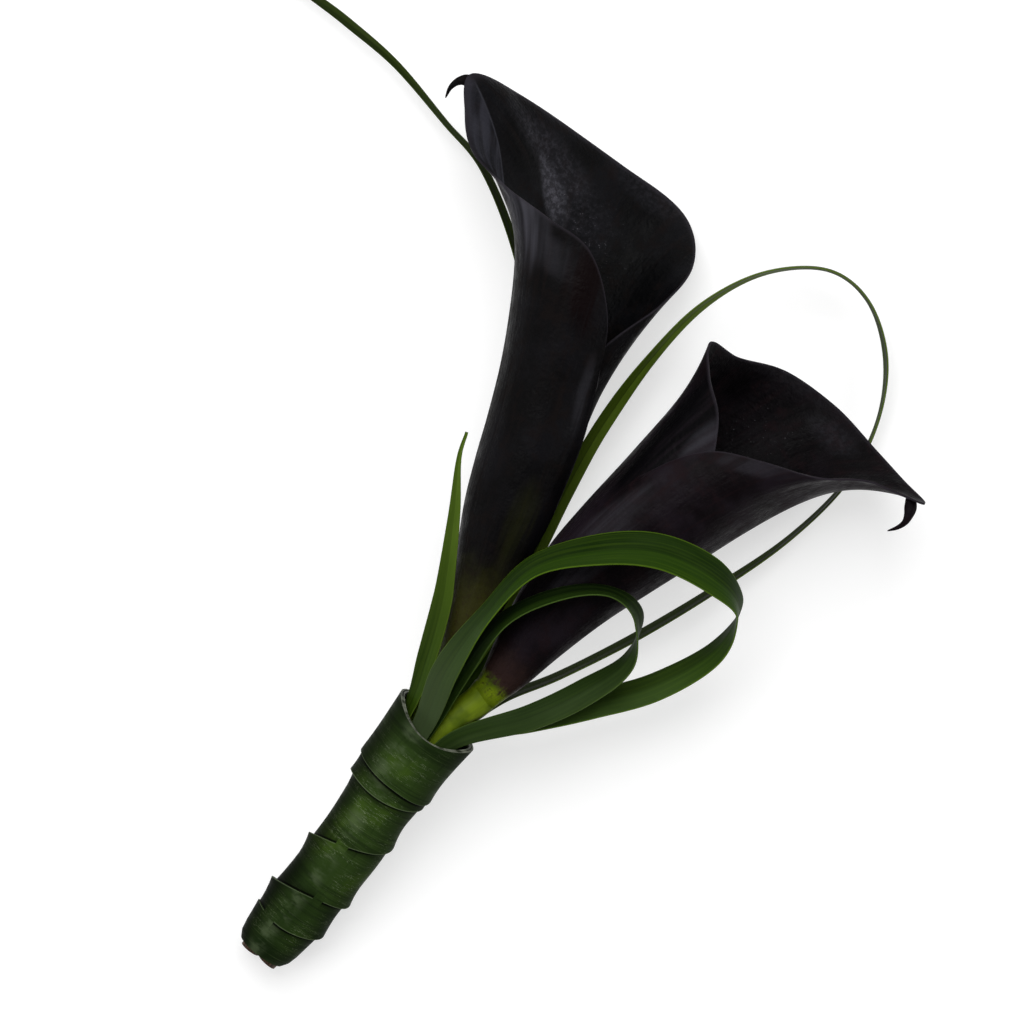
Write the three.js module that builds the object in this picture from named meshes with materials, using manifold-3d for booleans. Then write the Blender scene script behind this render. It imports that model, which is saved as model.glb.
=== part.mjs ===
// Calla lily flower: two dark mini calla lilies and five blades of lily grass, bound into one
// small bunch by a green leaf wound round their stems. The bunch lies on a flat surface.
//
// Millimetres. +Y runs along the handle towards the blooms, +X is to the right of the handle
// seen from above, and +Z is up. Z = 0 is the surface. The origin lies under the handle's
// lower end. The bunch rests on three low spots: the handle's lower end and the lowest part
// of each bloom's rim.

import * as THREE from 'three';
import { mergeVertices } from 'three/addons/utils/BufferGeometryUtils.js';
import Module from 'manifold-3d';

const wasm = await Module();
wasm.setup();

// Handle: its line rises towards the blooms, and it bows a little to the right
const HANDLE_TILT = THREE.MathUtils.degToRad(12);
const HANDLE_HEIGHT = 5.6;
const HANDLE_BOTTOM = -4.7;
const HANDLE_BOW = [[-5, 0.2], [0, 0.4], [8, 0.8], [20, 1.1], [28, 0.6], [36, 0], [48, 0]];

// Leaf wrap: [distance up the handle, radius] of its outside and of its bore
const WRAP_OUTSIDE = [
  [-4.7, 4.4], [-3.8, 5], [-2.4, 5.4], [0, 5.7], [5, 6.1], [10, 6], [18, 6.1],
  [28, 6.2], [32, 6.7], [36, 7.3], [42, 7.7], [48, 8.2],
];
const WRAP_BORE = [[-4.7, 3.9], [-2, 4.6], [10, 5.1], [28, 5.3], [33, 6], [38, 6.5], [48, 7.1]];
const WRAP_COLUMNS = 40;
const WRAP_ROWS_A_TURN = [0.02, 0.3, 0.55, 0.8, 0.97];

// The leaf is wound up the handle like a screw. Every quarter turn, from the left side over
// the top to the right: [height of its edge, step there]. The outer layer lies above the
// edge where the step is positive and below it where the step is negative.
const WRAP_FIRST_TURN = -2;
const WRAP_EDGE = [
  [-30, 0], [-27, 0], [-24, 0], [-21, 0],
  [-18, 0], [-14, 0], [-10, 0], [-2, 0],
  [2.4, -0.3], [2.1, 0.2], [3.9, 0.7], [5.3, 0.2],
  [7.1, -1], [9.7, -0.2], [11.1, 0.8], [14, 0.1],
  [17.4, -0.9], [20.8, 0.1], [24, 0.6], [28, 0.4],
  [31, 0.7], [31.1, 0.4], [33, 0.4], [34.3, 0.5],
  [34.9, 0.4], [34.1, 0.5], [34.6, 0.6], [40, 0.5],
  [52, 0], [56, 0], [60, 0], [64, 0], [68, 0],
];
const WRAP_STEP_LENGTH = 5;

// The mouth of the wrap dips at the front, where its edge is cut lower
const MOUTH_HEIGHT = 47.2;
const MOUTH_DIP = 2.4;
const MOUTH_SLANT = 0.4;

// Sheet thicknesses
const SPATHE_THICKNESS = 0.8;
const SPATHE_FOOT = 0.6;
const SPATHE_RIM = 0.65;
const SPATHE_LAP = [[0, 1.2], [12, 1.3], [35, 2.1], [60, 2.6], [110, 2.6]];
const BLADE_THICKNESS = 0.6;

// Each flower has its own frame: "along" runs up the bloom, "across" to its right and
// "up" towards the sky. The tube is [along, across, up, radius]. The rim goes once round
// from the outer margin to the inner one, which it laps: [turn in degrees, along, across,
// up, flare, curl]. The higher the flare, the closer to the rim the sheet turns out.
const FLOWER_1 = {
  base: [-1.6, 51.5, 15.7],
  heading: -20.6,
  hand: 1,
  start: 3.5,
  tube: [
    [-4.7, -2.5, -1.4, 2.9], [3.5, -1.1, -0.2, 2.9], [9, -0.4, 0.3, 3.4], [15, -0.1, 0.5, 4.2],
    [22, 0.1, 0.6, 5.1], [32, 0.5, 0.5, 6.9], [40, 0.8, 0.4, 7.6], [48, 1.1, 0.2, 8],
    [57, 1, 0, 8.3], [75, 0.8, -0.5, 9.8], [105, 1.2, -1.4, 10.6],
  ],
  rim: [
    [24, 58, 9.2, 5.9, 6, 0],
    [50, 70, 7.4, 8.1, 6, 0],
    [85, 80, 1.2, 9.5, 6, 0],
    [120, 83.5, -7.5, 9, 6, 0],
    [150, 86.7, -16.3, 6, 10, 0.5],
    [172, 90.9, -23.6, 0.5, 12, 0.7],
    [195, 97.3, -26.8, -1, 12, 1.2],
    [212, 103.6, -27.7, 0.5, 12, 1],
    [235, 102.7, -18.2, -5, 9, 1],
    [262, 96.6, 1.6, -14, 7, 1],
    [300, 91.7, 14.5, -15.4, 6, 1.5],
    [335, 84, 19.1, -8, 5, 1.5],
    [365, 75.6, 16.2, 0.5, 5, 0.5],
    [390, 67.3, 9.9, 4.8, 6, 0],
    [410, 60, 5.3, 5.8, 6, 0],
  ],
  tail: [
    [102.7, -26.5, 0.4, 0.8], [102.4, -28.1, 0.3, 1], [101.9, -29.2, 0.1, 0.75],
    [101.1, -30, -0.3, 0.55], [100, -30.5, -0.8, 0.4], [98.4, -30.7, -1.4, 0.25],
  ],
  spadixEnd: 66,
};

const FLOWER_2 = {
  base: [-0.3, 50.1, 15.7],
  heading: 14.4,
  hand: -1,
  start: 4.5,
  tube: [
    [-3.1, 3.3, 0, 2.9], [4.5, 2.9, 1, 2.9], [9.3, 1.9, 1.4, 3.7], [20, -1, 1.6, 6.1],
    [30, -2.8, 1.3, 8], [39, -3.4, 0.8, 9.4], [49, -3.7, 0.2, 10.7], [57, -3.9, -0.3, 11.6],
    [70, -3.8, -0.9, 12.8], [90, -3.9, -1.6, 14.7],
  ],
  rim: [
    [48, 50, -10.5, 8.9, 5, 0],
    [60, 57.8, -8.6, 10.4, 5, 0],
    [78, 63.3, -5.6, 11.3, 5, 0],
    [95, 68.4, 0.6, 12.2, 5, 0],
    [115, 74, 8.5, 11, 7, 0],
    [140, 80.2, 14, 8, 10, 0],
    [165, 83.4, 19.1, 4.5, 11, 0],
    [188, 86.2, 23.8, 1.5, 12, 0],
    [212, 85.9, 18.5, -3, 10, 0],
    [240, 85.5, 11, -9.5, 8, 0],
    [270, 84.8, 1.1, -15.8, 7, 0],
    [305, 81.7, -9.2, -13, 6, 0.5],
    [345, 76.5, -16.1, -3, 6, 0.5],
    [372, 74.2, -21.3, 3, 7, 0.5],
    [388, 70.3, -16.8, 7.5, 6, 0],
    [408, 67.2, -10.4, 10, 6, 0],
    [430, 61.5, -4.5, 10, 6, 0],
  ],
  tail: [
    [85, 21.4, 1.8, 0.9], [83.8, 22.8, 1.3, 1.1], [82.6, 23.7, 0.8, 0.8],
    [81.4, 24.2, 0.4, 0.55], [79.9, 24.1, 0, 0.4], [78.2, 23.5, -0.3, 0.25],
  ],
  spadixEnd: 56,
};

// Stems and spadices
const STEM_RADIUS = 2.2;
const STEM_1_IN_WRAP = [-2.1, -1.2];
const STEM_2_IN_WRAP = [2.45, 0.2];
const STEM_CUT_END = -5.5;
const STEM_CUT_RADIUS = 1.8;
const STEM_UNDER_BLOOM = 2.6;
const STEM_IN_BLOOM = 1.8;
const STEM_TOP = 22;
const SPADIX_START = 22.3;
const SPADIX_RADIUS = 2.6;

// A station of a blade that is held in the wrap: across, distance up the handle, up, roll, width
const held = (across, distance, up, roll, width) => [...handlePoint(across, distance, up), roll, width];

// Blades of lily grass: [x, y, z, roll, width] at stations along each blade. At roll 0 a
// blade lies flat, and it turns about its own length as the roll grows.
const BLADES = {
  blade_short: [
    held(-4.3, 34, 2.2, -50, 2.8),
    held(-5.1, 46, 2.2, -50, 3),
    [-8.4, 54, 18.5, -45, 4.2],
    [-11.5, 62, 20, -38, 4.2],
    [-14, 67, 20, -34, 3.6],
    [-19.7, 76.7, 20.5, -30, 2.3],
    [-24.7, 84.4, 21, -30, 1],
    [-26.5, 89, 21, -30, 0.6],
  ],
  blade_arched: [
    held(-0.7, 34, -4.9, 0, 2.4),
    held(-0.8, 46, -5.6, 0, 3),
    [0, 60.5, 7, 0, 3],
    [-5, 77.5, 5, 0, 3],
    [-15, 96, 4, 20, 2.6],
    [-27, 109, 3, 35, 2.4],
    [-39.3, 119.5, 2.5, 50, 2.2],
    [-52.3, 127.2, 2.5, 60, 2],
    [-62.5, 129.5, 3, 85, 1.8],
    [-75.3, 132.3, 3.5, 35, 1.6],
    [-86, 133, 3.5, 10, 1.7],
    [-93, 133, 3, 10, 1.6],
    [-100, 132.5, 2.5, 10, 1.2],
    [-106, 131.5, 1.5, 10, 0.6],
  ],
  blade_loop_large: [
    held(-2.2, 34, -4, 0, 3.2),
    held(-2.4, 46, -4.4, 0, 3.6),
    [-2, 60, 8.5, 0, 3.6],
    [-4, 77, 7.5, 0, 3.4],
    [-6.7, 91.5, 8, 0, 3.1],
    [-8.5, 104, 9, 10, 2.8],
    [-9, 118, 9.5, 50, 2.9],
    [-7.5, 131.5, 9, 68, 3.2],
    [-2.5, 142.5, 8.5, 80, 3],
    [6, 149.8, 7, 86, 3],
    [15, 149.9, 5.5, 84, 3],
    [23.6, 143.9, 4, 78, 3.2],
    [29.2, 134.2, 3, 84, 3],
    [31.3, 122.4, 3, 78, 3],
    [29.5, 109, 4, 74, 3.1],
    [25.2, 95.3, 5.5, 70, 3.6],
    [19, 79.4, 7, 68, 3.8],
    [12.2, 65.2, 9, 68, 3.6],
    [6.5, 55.5, 11, 60, 3.4],
    held(3.1, 46, -3.2, 30, 3.4),
    held(2.7, 34, -3, 30, 3),
  ],
  blade_loop_middle: [
    held(-1.1, 34, 3.5, -10, 3.6),
    held(-1.5, 46, 4, -15, 4),
    [-4, 54, 22.5, -38, 5.8],
    [-4.5, 66, 26.5, -66, 6.8],
    [-3, 77.5, 29.5, -60, 7],
    [4.5, 87, 31.5, -42, 7.2],
    [13, 93, 31, -32, 7.2],
    [23, 95.1, 27.5, -34, 6.9],
    [29.8, 93.2, 22, -80, 6.6],
    [31, 85, 16.5, -128, 5.8],
    [26.5, 74, 14, -150, 5.6],
    [19.5, 64.5, 14, -147, 5.6],
    [13, 55.5, 14.5, -125, 5],
    held(5.5, 46, 0, -95, 3.8),
    held(5.1, 34, 0, -92, 3.4),
  ],
  blade_loop_small: [
    held(-0.9, 34, 2.6, -5, 3.2),
    held(-1, 46, 2.9, -8, 3.8),
    [-2, 55, 21, -30, 4.6],
    [-1.5, 67, 26.5, -58, 4.6],
    [3.5, 76.5, 29, -62, 4.6],
    [10, 82, 28, -68, 4.6],
    [16.6, 81.6, 24.5, -66, 4.8],
    [19.9, 74.6, 21, -122, 5],
    [17.3, 65.9, 19.5, -155, 5.1],
    [12.5, 56.5, 18.5, -170, 4.6],
    held(4.1, 46, 3, -200, 3.2),
    held(3.6, 34, 2.9, -205, 2.8),
  ],
};

const MATERIALS = {
  wrap: { color: 0x2a3a1d, roughness: 0.5 },
  stem: { color: 0x566b1c, roughness: 0.55 },
  spathe: { color: 0x171518, roughness: 0.5 },
  spadix: { color: 0xb58a1e, roughness: 0.8 },
  blade: { color: 0x39521f, roughness: 0.5 },
};

// Smooth curve through evenly counted stations, each a list of numbers, at t from 0 to 1
function spline(stations, t) {
  const count = stations.length - 1;
  const place = THREE.MathUtils.clamp(t, 0, 1) * count;
  const i = Math.min(Math.floor(place), count - 1);
  const f = place - i;
  const here = stations[i];
  const next = stations[i + 1];
  return here.map((value, k) => {
    const before = i > 0 ? stations[i - 1][k] : 2 * value - next[k];
    const after = i + 2 <= count ? stations[i + 2][k] : 2 * next[k] - value;
    const slope = (next[k] - before) * f;
    const bend = (2 * before - 5 * value + 4 * next[k] - after) * f * f;
    const rest = (3 * value - before - 3 * next[k] + after) * f * f * f;
    return value + 0.5 * (slope + bend + rest);
  });
}

// Smooth values at x from a table of [x, value, value ...], straight on past both its ends
function lookUp(table, x) {
  const last = table.length - 1;
  const slope = (k, column) => {
    const low = table[Math.max(k - 1, 0)];
    const high = table[Math.min(k + 1, last)];
    return (high[column] - low[column]) / (high[0] - low[0]);
  };
  let i = 0;
  while (i < last - 1 && x > table[i + 1][0]) i++;
  const [from, to] = [table[i], table[i + 1]];
  const length = to[0] - from[0];
  const f = (x - from[0]) / length;
  return from.slice(1).map((value, k) => {
    const column = k + 1;
    const end = to[column];
    if (f < 0) return value + slope(0, column) * f * length;
    if (f > 1) return end + slope(last, column) * (f - 1) * length;
    const ease = f * f * (3 - 2 * f);
    const leave = f * (1 - f) * (1 - f) * slope(i, column) * length;
    const arrive = f * f * (1 - f) * slope(i + 1, column) * length;
    return value + (end - value) * ease + leave - arrive;
  });
}

// Point at a distance up the handle, moved across it and up from its line
function handlePoint(across, distance, up) {
  const [bow] = lookUp(HANDLE_BOW, distance);
  return [
    across + bow,
    distance * Math.cos(HANDLE_TILT) - up * Math.sin(HANDLE_TILT),
    HANDLE_HEIGHT + distance * Math.sin(HANDLE_TILT) + up * Math.cos(HANDLE_TILT),
  ];
}

// Closed body from triangles of points: the points are welded, and the faces turned outwards
function closedBody(triangles) {
  const numbers = triangles.flat().flatMap((point) => [...point]);
  const positions = new THREE.Float32BufferAttribute(numbers, 3);
  const welded = mergeVertices(new THREE.BufferGeometry().setAttribute('position', positions));
  const corner = (index) => new THREE.Vector3().fromBufferAttribute(welded.attributes.position, index);
  const kept = [];
  let volume = 0;
  for (let i = 0; i < welded.index.count; i += 3) {
    const [a, b, c] = welded.index.array.slice(i, i + 3);
    if (a === b || b === c || c === a) continue;
    kept.push([a, b, c]);
    volume += corner(a).dot(corner(b).cross(corner(c)));
  }
  welded.setIndex(kept.flatMap(([a, b, c]) => (volume > 0 ? [a, b, c] : [a, c, b])));
  return welded;
}

// Skin over a row of closed loops of points, with its two ends closed when capped. The
// two faces of a thin sheet are split into triangles alike, so that they never cross.
function loft(loops, capped) {
  const size = loops[0].length;
  const triangles = [];
  const quad = (a, b, c, d) => triangles.push([a, b, c], [a, c, d]);
  for (let i = 0; i + 1 < loops.length; i++) {
    for (let j = 0; j < size; j++) {
      const k = (j + 1) % size;
      const [a, b, c, d] = [loops[i][j], loops[i + 1][j], loops[i + 1][k], loops[i][k]];
      if (j < size / 2) quad(a, b, c, d);
      else quad(b, c, d, a);
    }
  }
  if (capped) {
    const [first, last] = [loops[0], loops[loops.length - 1]];
    for (let j = 0; j + 1 < size / 2; j++) {
      const far = size - 1 - j;
      quad(first[j], first[j + 1], first[far - 1], first[far]);
      quad(last[far], last[far - 1], last[j + 1], last[j]);
    }
  }
  return closedBody(triangles);
}

// The bodies joined, without what reaches below the surface they lie on, which leaves a
// flat spot
function restOnSurface(...bodies) {
  const toManifold = (geometry) => new wasm.Manifold(new wasm.Mesh({
    numProp: 3,
    vertProperties: geometry.attributes.position.array,
    triVerts: Uint32Array.from(geometry.index.array),
  }));
  const ground = new THREE.BoxGeometry(400, 400, 20).translate(0, 80, -10);
  ground.deleteAttribute('normal');
  ground.deleteAttribute('uv');
  const whole = bodies.map(toManifold).reduce((sum, body) => sum.add(body));
  const cut = whole.subtract(toManifold(mergeVertices(ground))).getMesh();
  const geometry = new THREE.BufferGeometry();
  geometry.setAttribute('position', new THREE.BufferAttribute(cut.vertProperties, 3));
  geometry.setIndex(new THREE.BufferAttribute(cut.triVerts, 1));
  return geometry;
}

// Direction of travel, width and face of a curve of stations that starts with x, y, z
function frameAlong(stations, t, roll) {
  const step = 0.001;
  const ahead = new THREE.Vector3(...spline(stations, Math.min(t + step, 1)));
  const behind = new THREE.Vector3(...spline(stations, Math.max(t - step, 0)));
  const travel = ahead.sub(behind).normalize();
  const level = new THREE.Vector3().crossVectors(travel, new THREE.Vector3(0, 0, 1)).normalize();
  const sky = new THREE.Vector3().crossVectors(level, travel);
  const turn = THREE.MathUtils.degToRad(roll);
  const face = sky.multiplyScalar(Math.cos(turn)).addScaledVector(level, Math.sin(turn));
  const width = new THREE.Vector3().crossVectors(travel, face);
  return { width, face };
}

// A blade: a thin closed strip through its stations
function blade(stations) {
  const SAMPLES_A_STATION = 3;
  const ACROSS = [-1, -0.35, 0.35, 1];
  const samples = (stations.length - 1) * SAMPLES_A_STATION;
  const loops = Array.from({ length: samples + 1 }, (_, i) => {
    const [x, y, z, roll, width] = spline(stations, i / samples);
    const frame = frameAlong(stations, i / samples, roll);
    const point = (k, side) => new THREE.Vector3(x, y, z)
      .addScaledVector(frame.width, (k * width) / 2)
      .addScaledVector(frame.face, (side * BLADE_THICKNESS) / 2);
    return [...ACROSS.map((k) => point(k, 1)), ...ACROSS.toReversed().map((k) => point(k, -1))];
  });
  return loft(loops, true);
}

// A round rod through stations of [x, y, z, radius]
function rod(stations, samples) {
  const SIDES = 12;
  const loops = Array.from({ length: samples + 1 }, (_, i) => {
    const [x, y, z, radius] = spline(stations, i / samples);
    const frame = frameAlong(stations, i / samples, 0);
    return Array.from({ length: SIDES }, (__, k) => {
      const angle = (2 * Math.PI * k) / SIDES;
      return new THREE.Vector3(x, y, z)
        .addScaledVector(frame.width, radius * Math.cos(angle))
        .addScaledVector(frame.face, radius * Math.sin(angle));
    });
  });
  return loft(loops, true);
}

// Point of a flower's own frame in the frame of the bunch
function flowerPoint(flower, along, across, up) {
  const heading = THREE.MathUtils.degToRad(flower.heading);
  const [x, y, z] = flower.base;
  return new THREE.Vector3(
    x + along * Math.sin(heading) + across * Math.cos(heading),
    y + along * Math.cos(heading) - across * Math.sin(heading),
    z + up,
  );
}

// Point of the spathe: v goes round it from the outer margin to the inner one, and t goes
// from its foot on the stem to its rim
function spathePoint(flower, v, t) {
  const [turn, rimAlong, rimAcross, rimUp, flare, curl] = spline(flower.rim, v);
  const angle = THREE.MathUtils.degToRad(turn);
  const tubeAt = (along) => {
    const [across, up, radius] = lookUp(flower.tube, along);
    const wound = radius + lookUp(SPATHE_LAP, along)[0] * (0.5 - v);
    return [across + flower.hand * wound * Math.cos(angle), up + wound * Math.sin(angle)];
  };
  const [tubeAcross, tubeUp] = tubeAt(flower.start + (rimAlong - flower.start) * t);
  const [endAcross, endUp] = tubeAt(rimAlong);
  const out = t ** flare;
  return flowerPoint(
    flower,
    flower.start + (rimAlong - flower.start) * t,
    tubeAcross + out * (rimAcross - endAcross),
    tubeUp + out * (rimUp - endUp) + curl * 4 * out * out * (1 - out * out),
  );
}

// A spathe: one sheet rolled into a trumpet, its outer margin lapping over its inner one,
// with a hooked tail at the tip of its rim
function spathe(flower) {
  const SAMPLES_AROUND = (flower.rim.length - 1) * 2;
  const SAMPLES_UP = 16;
  const around = Array.from({ length: SAMPLES_AROUND + 1 }, (_, i) => i / SAMPLES_AROUND);
  const upward = Array.from({ length: SAMPLES_UP + 1 }, (_, i) => 1 - (1 - i / SAMPLES_UP) ** 1.6);
  const step = 0.001;
  const place = (v, t) => spathePoint(flower, THREE.MathUtils.clamp(v, 0, 1), THREE.MathUtils.clamp(t, 0, 1));
  const point = (v, t, side) => {
    const alongRim = place(v + step, t).sub(place(v - step, t));
    const towardsRim = place(v, t + step).sub(place(v, t - step));
    const normal = alongRim.cross(towardsRim).normalize();
    const full = THREE.MathUtils.lerp(SPATHE_FOOT, SPATHE_THICKNESS, Math.min(1, 5 * t));
    const thickness = THREE.MathUtils.lerp(full, SPATHE_RIM, t ** 8);
    return place(v, t).addScaledVector(normal, (side * thickness) / 2);
  };
  const loops = around.map((v) => [
    ...upward.map((t) => point(v, t, 1)),
    ...upward.toReversed().map((t) => point(v, t, -1)),
  ]);
  const tail = flower.tail
    .map(([along, across, up, radius]) => [...flowerPoint(flower, along, across, up), radius]);
  return restOnSurface(loft(loops, true), rod(tail, 10));
}

// Line of a flower's tube through places of [along, radius]
const tubeLine = (flower, places) => places.map(([along, radius]) => {
  const [across, up] = lookUp(flower.tube, along);
  return [...flowerPoint(flower, along, across, up), radius];
});

// A stem: from its cut end through the wrap and up into the spathe, thinner inside it
function stem(flower, [across, up]) {
  return rod([
    [...handlePoint(across * 0.8, STEM_CUT_END, 0), STEM_CUT_RADIUS],
    [...handlePoint(across * 0.92, 2, 0), STEM_RADIUS - 0.1],
    [...handlePoint(across, 17, up * 0.3), STEM_RADIUS],
    [...handlePoint(across, 32, up * 0.7), STEM_RADIUS],
    ...tubeLine(flower, [
      [-3, STEM_RADIUS + 0.2],
      [flower.start - 1.8, STEM_UNDER_BLOOM],
      [flower.start + 0.6, STEM_IN_BLOOM],
      [12, STEM_IN_BLOOM],
      [STEM_TOP, STEM_IN_BLOOM],
    ]),
  ], 24);
}

// A spadix: the club that stands on the stem inside the spathe
function spadix(flower) {
  const SAMPLES = 8;
  const places = Array.from({ length: SAMPLES + 1 }, (_, i) => {
    const k = i / SAMPLES;
    const club = Math.sqrt(1 - 0.85 * k ** 6) * (0.8 + 0.2 * Math.min(1, 5 * k));
    return [THREE.MathUtils.lerp(SPADIX_START, flower.spadixEnd, k), SPADIX_RADIUS * club];
  });
  return rod(tubeLine(flower, places), 14);
}

// Height of the wrap's mouth at an angle from the front, over the right side
const mouthAt = (angle) => MOUTH_HEIGHT - MOUTH_DIP * Math.max(0, Math.cos(angle)) ** 2
  - MOUTH_SLANT * Math.sin(angle);

// The leaf wrap: one sleeve, open at both ends, with the steps of its wound leaf outside
function leafWrap() {
  const quarter = Math.PI / 2;
  const firstAngle = 2 * Math.PI * WRAP_FIRST_TURN - quarter;
  const lastTurn = (WRAP_EDGE.length - 1) / 4 + WRAP_FIRST_TURN - 1;
  const edgeAt = (angle) => spline(WRAP_EDGE, (angle - firstAngle) / quarter / (WRAP_EDGE.length - 1));
  const settle = (distance) => Math.max(0, 1 - distance / WRAP_STEP_LENGTH) ** 2;
  const ring = (radius, height, angle) => new THREE.Vector3(
    ...handlePoint(radius * Math.sin(angle), height, radius * Math.cos(angle)),
  );
  const outside = (angle, share) => {
    const [low, lowStep] = edgeAt(angle);
    const [high, highStep] = edgeAt(angle + 2 * Math.PI);
    const wanted = low + (high - low) * share;
    const height = THREE.MathUtils.clamp(wanted, HANDLE_BOTTOM, mouthAt(angle));
    const raisedAbove = Math.max(0, lowStep) * settle(height - low);
    const raisedBelow = Math.max(0, -highStep) * settle(high - height);
    const fromEnds = Math.min(1, height - HANDLE_BOTTOM, mouthAt(angle) - height);
    const raised = (raisedAbove + raisedBelow) * fromEnds;
    return ring(lookUp(WRAP_OUTSIDE, height)[0] + raised, height, angle);
  };
  const columns = Array.from({ length: WRAP_COLUMNS + 1 }, (_, i) => {
    const angle = (2 * Math.PI * i) / WRAP_COLUMNS - quarter;
    const climb = [];
    for (let turn = WRAP_FIRST_TURN; turn < lastTurn; turn++) {
      for (const share of WRAP_ROWS_A_TURN) climb.push(outside(angle + 2 * Math.PI * turn, share));
    }
    const descend = [mouthAt(angle), 38, 33, 28, 10, -2, HANDLE_BOTTOM]
      .map((height) => ring(lookUp(WRAP_BORE, height)[0], height, angle));
    return [...climb, ...descend];
  });
  return restOnSurface(loft(columns, false));
}

function part(name, geometry, look) {
  const mesh = new THREE.Mesh(geometry, new THREE.MeshStandardMaterial({ ...MATERIALS[look], metalness: 0 }));
  mesh.name = name;
  return mesh;
}

const group = new THREE.Group();
group.add(part('leaf_wrap', leafWrap(), 'wrap'));
group.add(part('stem_1', stem(FLOWER_1, STEM_1_IN_WRAP), 'stem'));
group.add(part('stem_2', stem(FLOWER_2, STEM_2_IN_WRAP), 'stem'));
group.add(part('spadix_1', spadix(FLOWER_1), 'spadix'));
group.add(part('spadix_2', spadix(FLOWER_2), 'spadix'));
group.add(part('spathe_1', spathe(FLOWER_1), 'spathe'));
group.add(part('spathe_2', spathe(FLOWER_2), 'spathe'));
for (const [name, stations] of Object.entries(BLADES)) group.add(part(name, blade(stations), 'blade'));

export default group;
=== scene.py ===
# Calla lily flower: looks of two dark mini calla lilies and five blades of lily grass, bound
# by a green leaf. The tables are in millimetres and the objects in metres. +Y runs along the
# handle towards the blooms, +X is to the right of the handle seen from above, and +Z is up.

import math

import bmesh
import bpy
import numpy as np
from mathutils import Matrix, Vector


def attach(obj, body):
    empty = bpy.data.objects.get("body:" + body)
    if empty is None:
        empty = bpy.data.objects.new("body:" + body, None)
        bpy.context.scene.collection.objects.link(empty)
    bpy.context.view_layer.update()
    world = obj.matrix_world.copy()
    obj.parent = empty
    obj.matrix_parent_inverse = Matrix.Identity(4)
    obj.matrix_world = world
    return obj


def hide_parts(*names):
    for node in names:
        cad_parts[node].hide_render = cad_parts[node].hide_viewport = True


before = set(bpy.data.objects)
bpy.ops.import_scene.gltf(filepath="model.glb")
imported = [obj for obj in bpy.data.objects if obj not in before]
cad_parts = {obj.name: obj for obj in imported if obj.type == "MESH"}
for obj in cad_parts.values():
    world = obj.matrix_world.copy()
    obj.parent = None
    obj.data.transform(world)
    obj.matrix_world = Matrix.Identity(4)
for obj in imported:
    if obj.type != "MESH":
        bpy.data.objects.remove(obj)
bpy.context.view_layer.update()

MM = 0.001
# Part of a curve's length over which its direction is measured
STEP = 0.001

# Forms. Nearly all their values are those of the solids that the pieces replace. The handle's
# line rises towards the blooms, and it bows a little to the right.
HANDLE_TILT = math.radians(12)
HANDLE_HEIGHT = 5.6
HANDLE_BOTTOM = -4.7
HANDLE_BOW = [[-5, 0.2], [0, 0.4], [8, 0.8], [20, 1.1], [28, 0.6], [36, 0], [48, 0]]

# Leaf wrap: [distance up the handle, radius] of its outside and of its bore
WRAP_OUTSIDE = [
    [-4.7, 4.4], [-3.8, 5], [-2.4, 5.4], [0, 5.7], [5, 6.1], [10, 6], [18, 6.1],
    [28, 6.2], [32, 6.7], [36, 7.3], [42, 7.7], [48, 8.2],
]
WRAP_BORE = [[-4.7, 3.9], [-2, 4.6], [10, 5.1], [28, 5.3], [33, 6], [38, 6.5], [48, 7.1]]

# The leaf is wound up the handle like a screw. Every quarter turn, from the left side over
# the top to the right: [height of its edge, step there]. The outer layer lies above the
# edge where the step is positive and below it where the step is negative.
WRAP_FIRST_TURN = -2
WRAP_EDGE = [
    [-30, 0], [-27, 0], [-24, 0], [-21, 0],
    [-18, 0], [-14, 0], [-10, 0], [-2, 0],
    [2.4, -0.3], [2.1, 0.2], [3.9, 0.7], [5.3, 0.2],
    [7.1, -1], [9.7, -0.2], [11.1, 0.8], [14, 0.1],
    [17.4, -0.9], [20.8, 0.1], [24, 0.6], [28, 0.4],
    [31, 0.7], [31.1, 0.4], [33, 0.4], [34.3, 0.5],
    [34.9, 0.4], [34.1, 0.5], [34.6, 0.6], [40, 0.5],
    [52, 0], [56, 0], [60, 0], [64, 0], [68, 0],
]
WRAP_STEP_LENGTH = 5
# Least step that shows as an edge
WRAP_STEP_SEEN = 0.1
WRAP_COLUMNS = 180
# Rows between an edge and the one above it, as parts of the way
WRAP_ROWS = [0.004, 0.02, 0.045, 0.08, 0.13, 0.2, 0.3, 0.4, 0.5, 0.6, 0.7, 0.8, 0.87, 0.92,
             0.955, 0.98, 0.996]
# Length of leaf, in centimetres, in a radian round the handle
GRAIN_A_RADIAN = 0.6
# Distance, in metres, within which points at the wrap's seam are joined
SEAM = 0.000002
SHARP_ANGLE = 50

# The mouth of the wrap dips at the front. Its lip is double: the height of each of its rows
# above the mouth, and how far each lies inwards. The rows of the bore follow.
MOUTH_HEIGHT = 47.2
MOUTH_DIP = 2.4
MOUTH_SLANT = 0.4
LIP_HEIGHTS = [0.06, 0.03, -0.7, -0.7, 0.0, 0.02, -0.3]
LIP_INWARDS = [0.08, 0.38, 0.42, 0.55, 0.58, 0.9, 1.02]
BORE_HEIGHTS = [38.0, 33.0, 28.0, 10.0, -2.0, HANDLE_BOTTOM]
# Rows of faces that are cut edge, counted from the lip's first row
CUT_ROWS = (-1, 0, 1, 3, 4, 5)

# How much closer to the tube's line the inner margin lies than the outer one, along the bloom
SPATHE_LAP = [[0, 1.2], [12, 1.3], [35, 2.1], [60, 2.6], [110, 2.6]]

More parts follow.
